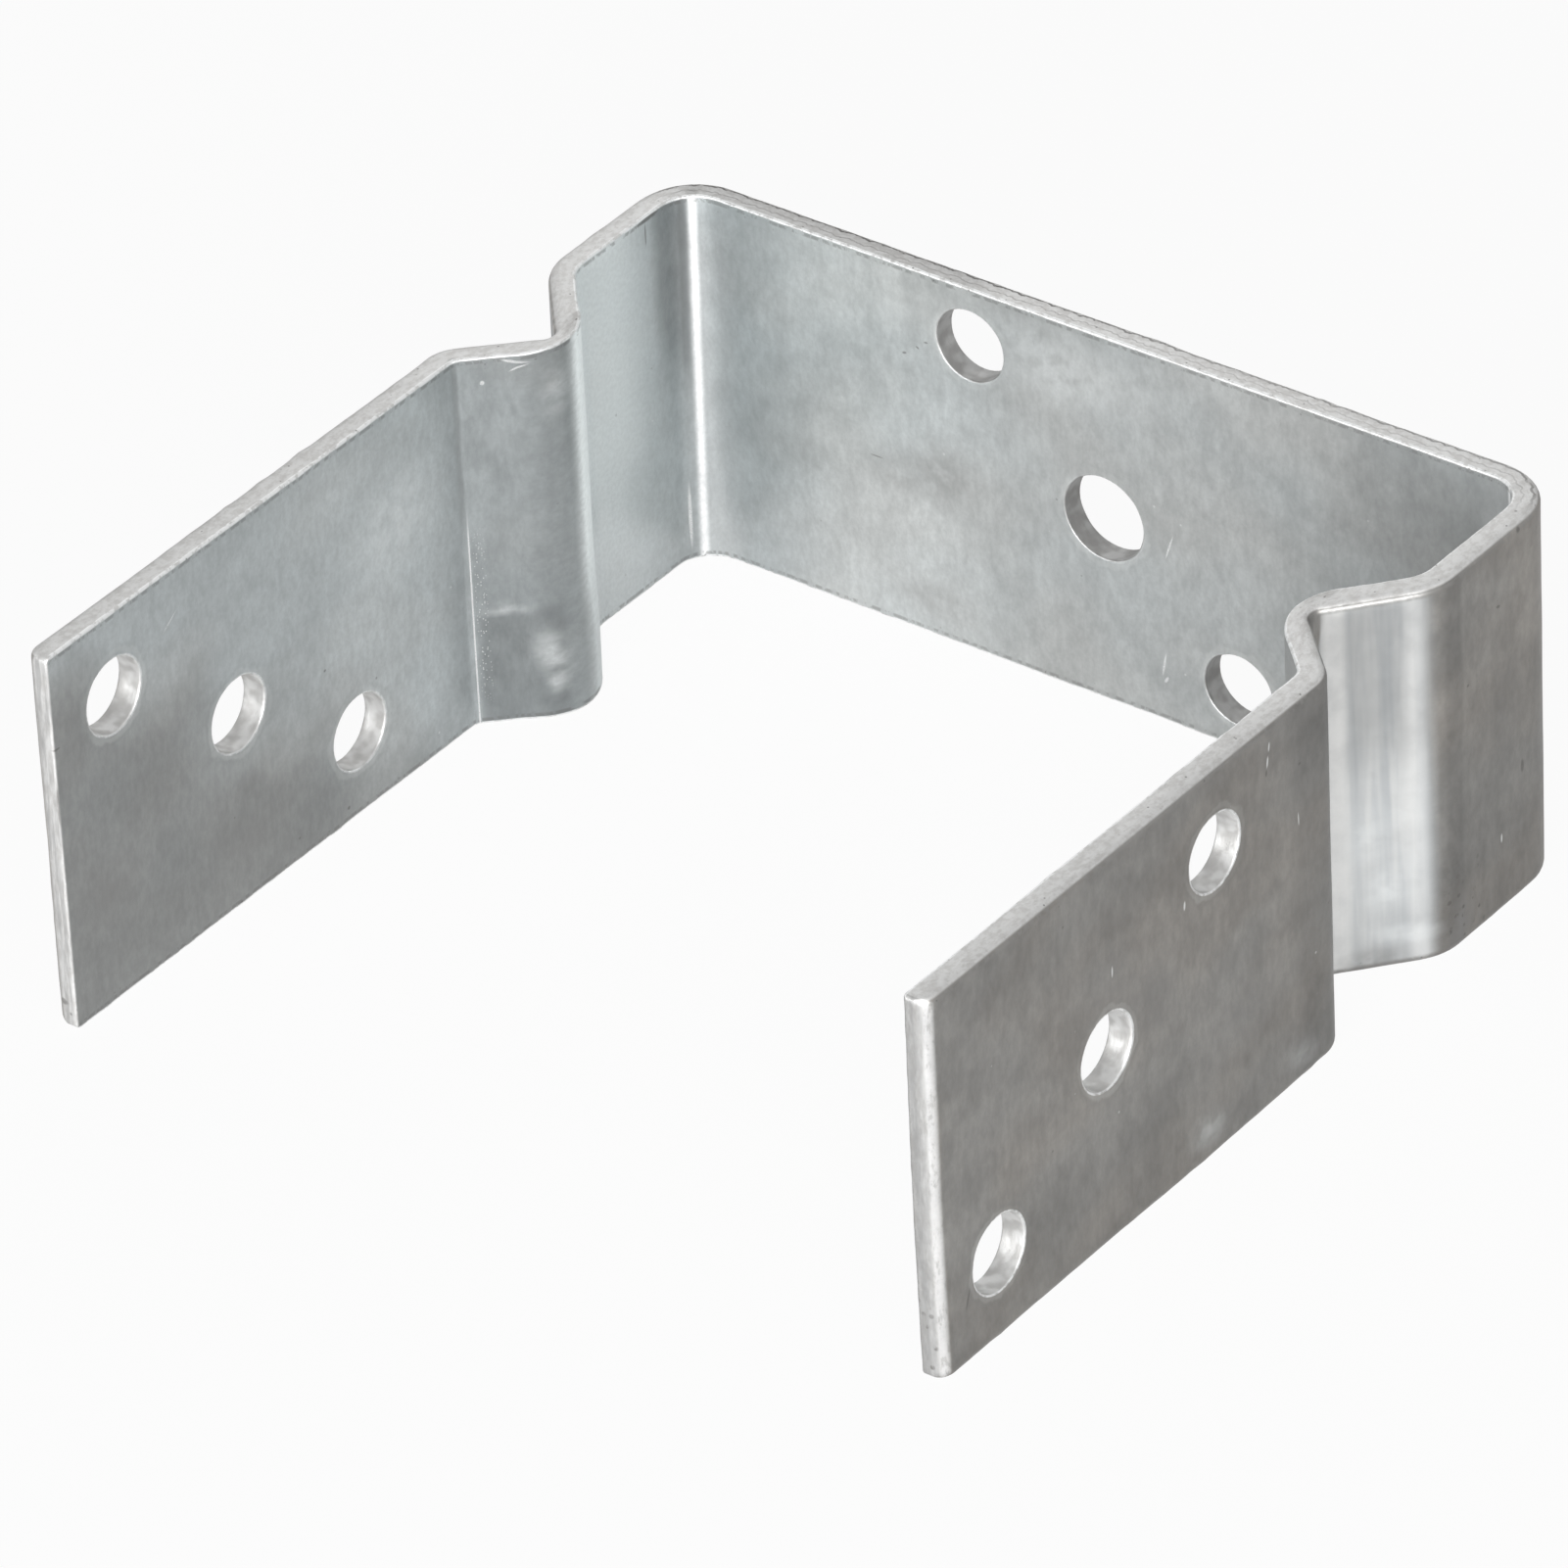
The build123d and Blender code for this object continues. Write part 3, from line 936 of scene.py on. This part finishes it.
def painted_corner_highlights(g, f, colour):
    """Painted highlights: a bright line in each corner inside the box, with a painted glow on one
    side and a painted shade line on the other, and bright ends of the legs, mostly the right one.
    """
    slanted = g.math("MULTIPLY_ADD", f.height, CORNER_SLANT, f.from_base)
    f.corner = g.times(
        g.band(slanted, *CORNER_LINE), g.ramp(f.mottle, 0.3, 0.6, 0.8, 1.0), f.within
    )
    glow = g.times(
        g.band(f.from_base, *CORNER_GLOW), g.ramp(f.height, 14.0, 28.0, 1.0, 0.4), f.within
    )
    shade = g.times(
        g.band(slanted, *CORNER_SHADE), g.ramp(f.height, -6.0, 8.0, 0.25, 1.0), f.within
    )
    end = g.ramp(g.math("ADD", f.from_base, f.depth), HALF_STRIP + 2.15, HALF_STRIP + 2.7)
    # A painted glow beside the corner line, and painted shade on its other side
    colour = g.mix(g.times(glow, 0.4), colour, CORNER_GLOW_PAINT)
    colour = g.mix(g.times(shade, 0.5), colour, SHADE)
    # The legs' ends painted bright as highlights, the right one much more
    by_leg = g.ramp(f.along, -1.0, 1.0, 0.08, 0.72)
    end = g.times(end, by_leg, g.ramp(f.crumb, 0.34, 0.5, 0.6, 1.0))
    return g.mix(g.most(f.corner, end), colour, CORNER_AND_END_HIGHLIGHT)


def stains_and_painted_light(g, f, colour):
    """Stains, painted highlight patches, grain, and painted shade in broken lines along the faces'
    edges.
    """
    ragged = g.ramp(g.noise(f.place, (0.35, 0.35, 0.35)), 0.3, 0.6, 0.35, 1.0)
    colour = g.mix(g.times(f.stained, ragged), colour, STAIN)
    # Painted highlights in soft patches
    colour = g.mix(g.times(f.glowing, ragged), colour, HIGHLIGHT_PATCH_PAINT)
    # Grain, stronger on the rib's front flank, where it also adds painted shade
    flank = g.band(f.from_base, *FRONT_FLANK, gain=1.9)
    grain = g.ramp(f.grain, 0.3, 0.7, 0.0, 0.13)
    grain = g.times(grain, g.ramp(f.groove, 0.0, 1.0, 1.0, 0.2), flank)
    colour = g.mix(grain, colour, GRAIN)
    # Painted shade along the outside's rounded edges, top and bottom, broken up by noise
    outside_edge = g.times(
        g.ramp(f.from_middle, 28.5, 29.1), f.outside, g.ramp(f.crumb, 0.4, 0.58, 0.7, 0.0)
    )
    colour = g.mix(outside_edge, colour, OUTSIDE_EDGE_SHADE)
    # Painted shade in a thin line along the inside's edges, top and bottom, broken up by noise
    inside_edge = g.times(
        g.band(f.from_middle, 29.2, 0.14, 0.3), f.within, g.ramp(f.crumb, 0.44, 0.56)
    )
    return g.mix(g.times(inside_edge, 0.5), colour, INSIDE_EDGE_SHADE)


def ringed_holes(g, f, colour):
    """A lighter ring round each hole as a painted highlight, and a line of painted shade at its
    foot.
    """
    uneven = g.math("ADD", f.gap, g.ramp(f.mottle, 0.3, 0.7, -0.5, 0.5))
    # Painted highlight ring round each hole
    ring = g.times(g.band(uneven, 0.85, 0.2, 0.5), g.ramp(f.cloud, 0.35, 0.6, 0.2, 0.8))
    colour = g.mix(g.times(ring, 0.22), colour, RING)
    # Painted shade at the ring's foot
    foot = g.times(g.band(uneven, 1.7, 0.1, 0.5), g.ramp(f.mottle, 0.4, 0.55))
    return g.mix(g.times(foot, 0.1), colour, SHADE)


def sheared_edges(g, f, colour):
    """Sheared edges and hole walls: paler and crumbled, with cracks along the base plate."""
    edge = g.mix(g.ramp(f.crumb, 0.34, 0.62), EDGE_DARK, EDGE_LIGHT)
    right_end = g.ramp(f.along, 218.7, 219.0, 1.0, 0.66)
    base_left = g.band(f.along, *BASE_LEFT_EDGE, gain=0.78)
    legs = g.ramp(f.from_base, 132.0, 150.0, 1.0, 0.92)
    edge = g.scaled(edge, g.times(right_end, base_left, legs))
    drag = g.ramp(g.noise(f.place, (0.3, 0.12, 1.6), rough=0.65), 0.42, 0.6, 0.0, 0.5)
    edge = g.mix(g.times(drag, f.tip), edge, DRAG)
    colour = g.mix(f.cut, colour, edge)
    facet = g.noise(f.place, (0.5, 0.5, 0.45), detail=1.5)
    wall = g.mix(g.ramp(facet, 0.36, 0.64), WALL_DARK, WALL_LIGHT)
    wall = g.scaled(wall, g.ramp(f.from_base, 40.0, 120.0, 0.72, 1.0))
    colour = g.mix(f.wall, colour, wall)

    waver = g.ramp(g.noise(f.place, (0.5, 0, 0)), 0.25, 0.75, -0.35, 0.35)
    wavering = g.math("ADD", f.depth, waver)
    wide_crack = g.band(wavering, 2.95, 0.12, 0.16)
    thin_crack = g.times(g.band(wavering, 1.5, 0.05, 0.14), 0.5)
    crack = g.most(wide_crack, thin_crack)
    on_base = g.ramp(f.from_base, 71.0, 78.0, 1.0, 0.0)
    crack = g.times(crack, f.side, on_base, g.ramp(f.crumb, 0.35, 0.5, 0.3, 1.0))
    return g.mix(g.times(crack, g.ramp(f.along, -20.0, 20.0, 0.95, 0.6)), colour, DIRT)


def bright_spots(g, f, colour):
    """Painted highlights on the rounded inside edges and hole mouths, bright strokes, and painted
    light and shade at the crease at the foot of the left rib.
    """
    # Painted highlights along the rounded inside edges and round the mouths of the holes
    rim = g.times(g.band(f.depth, 0.2, 0.16, 0.2), g.ramp(f.from_middle, 29.45, 29.65))
    rim = g.times(rim, g.ramp(f.crumb, 0.38, 0.56, 0.25, 1.0))
    mouth = g.times(g.band(f.gap, 0.3, 0.1, 0.15), g.ramp(f.crumb, 0.35, 0.6, 0.3, 1.0))
    mouth = g.times(
        mouth, g.ramp(f.from_base, 40.0, 120.0, 0.3, 1.0), g.ramp(f.depth, 0.0, 4.0, 0.6, 1.0)
    )
    bright = g.most(rim, mouth, g.times(g.marks(f.place, BRIGHT_MARKS), 0.8))

    # The crease has a painted highlight below, painted shade above, and painted glints beside it
    crease = g.times(g.band(f.along, *LEFT_CREASE), g.ramp(f.height, -1.0, 6.0, 1.0, 0.0))
    bright = g.most(bright, g.times(crease, g.ramp(f.depth, *SKIN, 1.0, 0.0)))
    shade = g.times(g.band(f.along, *LEFT_CREASE_SHADE), g.ramp(f.height, -4.0, 8.0))
    shade = g.times(shade, g.ramp(f.depth, *SKIN, 0.45, 0.0))
    colour = g.mix(shade, colour, CREASE_SHADE)
    sparks = g.times(
        g.specks(g.cells(f.place, 0.45, "2D"), 0.26, 0.38),
        g.band(f.along, *LEFT_CREASE_SPECKS),
        g.band(f.height, -12.0, 9.0, 7.0),
        g.ramp(f.depth, *SKIN, 1.0, 0.0),
    )

    f.sparse, f.dense = g.cells(f.place, 4.5), g.cells(f.place, 1.2)
    f.bright = g.most(bright, g.times(sparks, 0.8), g.times(g.specks(f.sparse, 0.06, 0.2), 0.4))
    return g.mix(f.bright, colour, BRIGHT)


def dark_spots(g, f, colour):
    """Dark specks and strokes, and soot low on the right side and on the ends of the legs."""
    soot = g.times(
        g.band(f.along, *RIGHT_SIDE_SOOT), g.ramp(f.height, -23.0, -12.0, 1.0, 0.0), f.outside
    )
    soot = g.most(g.times(soot, 0.9), g.times(f.tip, g.ramp(f.height, -24.0, -14.0, 0.8, 0.0)))
    distance, pick = f.sparse
    others = (distance, g.math("SUBTRACT", 1.0, pick))
    dark = g.most(
        g.times(g.specks(others, 0.06, 0.25), 0.5),
        g.times(g.specks(f.dense, 0.4, 0.4), soot, g.ramp(f.crumb, 0.42, 0.54)),
        g.times(g.specks(f.dense, 0.17, 0.2), g.ramp(f.from_middle, 27.0, 30.0), 0.7),
        g.times(g.marks(f.place, DARK_MARKS), 0.62),
    )
    return g.mix(dark, colour, DIRT)


def roughness(g, f):
    """Duller on cut edges and outside; the crest and corners spread their highlights."""
    rough = g.math(
        "ADD", g.ramp(f.mottle, 0.3, 0.7, 0.29, 0.36), g.ramp(f.grain, 0.3, 0.7, 0.0, 0.05)
    )
    rough = g.math("ADD", rough, g.times(g.most(f.cut, f.wall), 0.16))
    rough = g.math("ADD", rough, g.times(f.outside, 0.04))
    rough = g.math("SUBTRACT", rough, g.times(f.bright, 0.1))
    crest = g.times(g.band(f.from_base, *CREST), f.within)
    return g.math("ADD", rough, g.times(g.most(f.corner, crest), 0.22))


def relief(g, f):
    """Fine relief of the coat, stronger on the crumbled edges and hole walls."""
    raised = g.math("ADD", g.times(f.mottle, 0.9), g.times(f.grain, 0.22))
    raised = g.math("ADD", raised, g.times(g.most(f.cut, f.wall), f.crumb, 2.2))
    bump = g.node("ShaderNodeBump", {
        "Height": raised, "Strength": BUMP_STRENGTH, "Distance": BUMP_DISTANCE,
    })
    return bump.outputs[0]


def zinc_material():
    """Dull galvanised steel: clouded zinc, darker and warmer outside, partly as painted shade,
    rough sheared edges, and painted highlights and painted shade in its colour at the bends,
    corners, groove and edges.
    """
    material = bpy.data.materials.new("galvanised_zinc")
    material.use_nodes = True
    g = Graph(material)
    shader = material.node_tree.nodes["Principled BSDF"]
    f = strip_fields(g)
    colour = clouded_faces(g, f)
    for layer in (painted_bend_light, painted_groove_reflections, painted_corner_highlights, stains_and_painted_light, ringed_holes,
                  sheared_edges, bright_spots, dark_spots):
        colour = layer(g, f, colour)
    g.feed(shader.inputs["Base Color"], colour)
    shader.inputs["Metallic"].default_value = METALLIC
    g.feed(shader.inputs["Roughness"], roughness(g, f))
    g.feed(shader.inputs["Normal"], relief(g, f))
    return material


def floor_material():
    """Pale floor that reads white to the camera and in reflections, and keeps a shadow."""
    material = bpy.data.materials.new("pale_floor")
    material.use_nodes = True
    g = Graph(material)
    tree = material.node_tree
    plain = tree.nodes["Principled BSDF"]
    plain.inputs["Base Color"].default_value = (FLOOR_TONE, FLOOR_TONE, FLOOR_TONE, 1)
    plain.inputs["Roughness"].default_value = 0.9
    plain.inputs["Specular IOR Level"].default_value = 0.1
    glow = g.node("ShaderNodeEmission", {"Color": (1, 1, 1, 1), "Strength": 1.0})
    path = g.node("ShaderNodeLightPath").outputs
    mirrored = g.most(path["Is Glossy Ray"], path["Is Transmission Ray"])
    mirrored = g.times(mirrored, FLOOR_MIRRORED)
    share = g.times(g.most(path["Is Camera Ray"], mirrored), FLOOR_SEEN)
    mixed = g.node("ShaderNodeMixShader", {0: share, 1: plain.outputs[0], 2: glow.outputs[0]})
    g.feed(tree.nodes["Material Output"].inputs["Surface"], mixed.outputs[0])
    return material


def add_floor():
    """A plain square under the part, where the strip's edges rest."""
    half = FLOOR_SIZE / 2
    corners = ((-half, -half), (half, -half), (half, half), (-half, half))
    mesh = bpy.data.meshes.new("floor")
    mesh.from_pydata([(x, y, cad_box[0].z) for x, y in corners], [], [(0, 1, 2, 3)])
    mesh.materials.append(floor_material())
    floor = bpy.data.objects.new("floor", mesh)
    bpy.context.scene.collection.objects.link(floor)


def add_softbox(name, azimuth, elevation, power):
    """An area lamp that looks at the part; azimuth 0 is the -Y side and 90 the +X side."""
    a, e = math.radians(azimuth), math.radians(elevation)
    way = Vector((math.sin(a) * math.cos(e), -math.cos(a) * math.cos(e), math.sin(e)))
    lamp = bpy.data.lights.new(name, "AREA")
    lamp.shape = "RECTANGLE"
    lamp.size, lamp.size_y = SOFTBOX_SIZE
    lamp.energy = power
    lit = bpy.data.objects.new(name, lamp)
    lit.location = Vector(SOFTBOX_AIM) + way * SOFTBOX_DISTANCE
    lit.rotation_euler = (-way).to_track_quat("-Z", "Y").to_euler()
    bpy.context.scene.collection.objects.link(lit)


def add_light():
    """A dim white room, low softboxes in front and a weak one behind for the top edges."""
    world = bpy.data.worlds.new("studio")
    world.use_nodes = True
    g = Graph(world)
    path = g.node("ShaderNodeLightPath").outputs
    mirrored = g.most(path["Is Glossy Ray"], path["Is Transmission Ray"])
    seen = g.most(path["Is Camera Ray"], g.times(mirrored, ROOM_MIRRORED))
    background = world.node_tree.nodes["Background"]
    background.inputs["Color"].default_value = (1, 1, 1, 1)
    g.feed(background.inputs["Strength"], g.most(seen, ROOM_LEVEL))
    bpy.context.scene.world = world
    for softbox in SOFTBOXES:
        add_softbox(*softbox)


def add_camera():
    """The photograph's view: a long lens from the right front, a little above."""
    lens = bpy.data.cameras.new("camera")
    lens.sensor_width = SENSOR_WIDTH
    lens.lens = FOCAL_LENGTH
    camera = bpy.data.objects.new("camera", lens)
    camera.location = CAMERA_PLACE
    camera.rotation_euler = Euler([math.radians(angle) for angle in CAMERA_ANGLES])
    bpy.context.scene.collection.objects.link(camera)
    bpy.context.scene.camera = camera


strip = strip_object()
strip.data.materials.append(zinc_material())
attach(strip, "root")
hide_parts("post_anchor")
add_floor()
add_light()
add_camera()
bpy.context.scene.view_settings.view_transform = "Standard"
